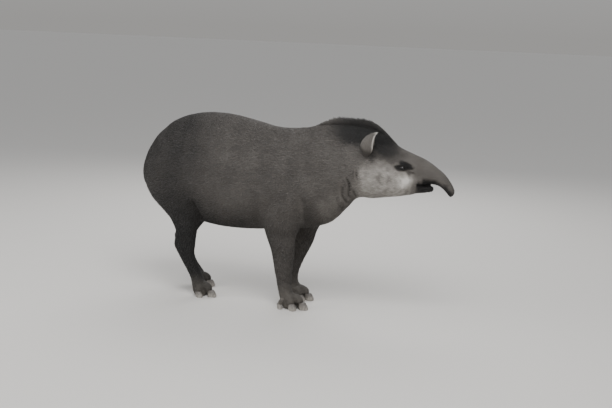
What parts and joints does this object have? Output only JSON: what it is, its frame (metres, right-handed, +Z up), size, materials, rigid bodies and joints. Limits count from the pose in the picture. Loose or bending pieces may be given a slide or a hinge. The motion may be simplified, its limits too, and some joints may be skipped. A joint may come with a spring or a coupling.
{
  "type": "lowland tapir figure",
  "caption": "Life-size still figure of a standing lowland tapir with a short mane along the nape, head turned slightly to its left.",
  "frame": {"origin": "on the floor under the middle of the figure's bounding box", "axes": "+X towards the head, +Y to the animal's left, +Z up"},
  "size_m": [1.8238, 0.4694, 1.069],
  "materials": {
    "hide": "short dense hair, dull, dark grey-brown with paler cheeks and throat",
    "hoof": "horn, satin",
    "eye": "wet, very dark"
  },
  "bodies": {
    "root": {"ear_left": "hide", "ear_right": "hide", "eye_left": "eye", "eye_right": "eye", "foreleg_left": "hide", "foreleg_right": "hide", "head": "hide", "hindleg_left": "hide", "hindleg_right": "hide", "hoof_foreleg_left_inner": "hoof", "hoof_foreleg_left_little": "hoof", "hoof_foreleg_left_middle": "hoof", "hoof_foreleg_left_outer": "hoof", "hoof_foreleg_right_inner": "hoof", "hoof_foreleg_right_little": "hoof", "hoof_foreleg_right_middle": "hoof", "hoof_foreleg_right_outer": "hoof", "hoof_hindleg_left_inner": "hoof", "hoof_hindleg_left_middle": "hoof", "hoof_hindleg_left_outer": "hoof", "hoof_hindleg_right_inner": "hoof", "hoof_hindleg_right_middle": "hoof", "hoof_hindleg_right_outer": "hoof", "lower_jaw": "hide", "neck": "hide", "proboscis": "hide", "tail": "hide", "torso": "hide"}
  },
  "joints": []
}
